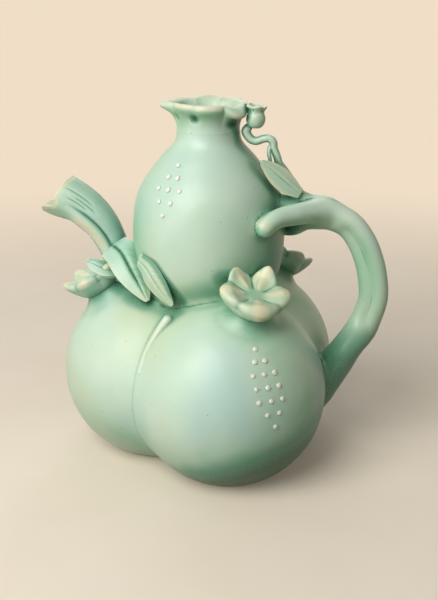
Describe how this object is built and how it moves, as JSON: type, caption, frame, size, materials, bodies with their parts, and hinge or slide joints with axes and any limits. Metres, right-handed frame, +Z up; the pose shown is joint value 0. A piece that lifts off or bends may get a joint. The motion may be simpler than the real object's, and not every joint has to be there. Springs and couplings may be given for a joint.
{
  "type": "pitcher",
  "caption": "Celadon pitcher of pomegranates, one stacked on three, with a branch handle, a leaf spout, an open crown as its mouth, and a bud, leaves and slip seeds.",
  "frame": {"origin": "middle of the pitcher's bounding box, on the surface that its three feet stand on", "axes": "+Z up through the mouth, +X towards the handle and -X towards the spout, +Y towards the fruit at the back"},
  "size_m": [0.1744, 0.1446, 0.1816],
  "materials": {
    "celadon_glaze": "glossy celadon glaze",
    "pale_celadon_glaze": "glossy celadon glaze, thin on raised edges",
    "white_slip": "white slip under clear glaze"
  },
  "bodies": {
    "root": {"back_crown": "pale_celadon_glaze", "back_fruit": "celadon_glaze", "bud": "pale_celadon_glaze", "bud_twig": "pale_celadon_glaze", "front_crown": "pale_celadon_glaze", "front_fruit": "celadon_glaze", "front_seed_01": "white_slip", "front_seed_02": "white_slip", "front_seed_03": "white_slip", "front_seed_04": "white_slip", "front_seed_05": "white_slip", "front_seed_06": "white_slip", "front_seed_07": "white_slip", "front_seed_08": "white_slip", "front_seed_09": "white_slip", "front_seed_10": "white_slip", "front_seed_11": "white_slip", "front_seed_12": "white_slip", "front_seed_13": "white_slip", "front_seed_14": "white_slip", "front_seed_15": "white_slip", "groove_tendril": "pale_celadon_glaze", "handle_back_branch": "celadon_glaze", "handle_front_branch": "celadon_glaze", "handle_tang": "celadon_glaze", "left_crown": "pale_celadon_glaze", "left_fruit": "celadon_glaze", "mouth_crown": "pale_celadon_glaze", "shoulder_back_leaf": "pale_celadon_glaze", "shoulder_leaf": "pale_celadon_glaze", "spout": "celadon_glaze", "spout_front_leaf": "pale_celadon_glaze", "spout_inner_leaf": "pale_celadon_glaze", "spout_outer_leaf": "pale_celadon_glaze", "upper_fruit": "celadon_glaze", "upper_seed_01": "white_slip", "upper_seed_02": "white_slip", "upper_seed_03": "white_slip", "upper_seed_04": "white_slip", "upper_seed_05": "white_slip", "upper_seed_06": "white_slip", "upper_seed_07": "white_slip", "upper_seed_08": "white_slip", "upper_seed_09": "white_slip"}
  },
  "joints": []
}
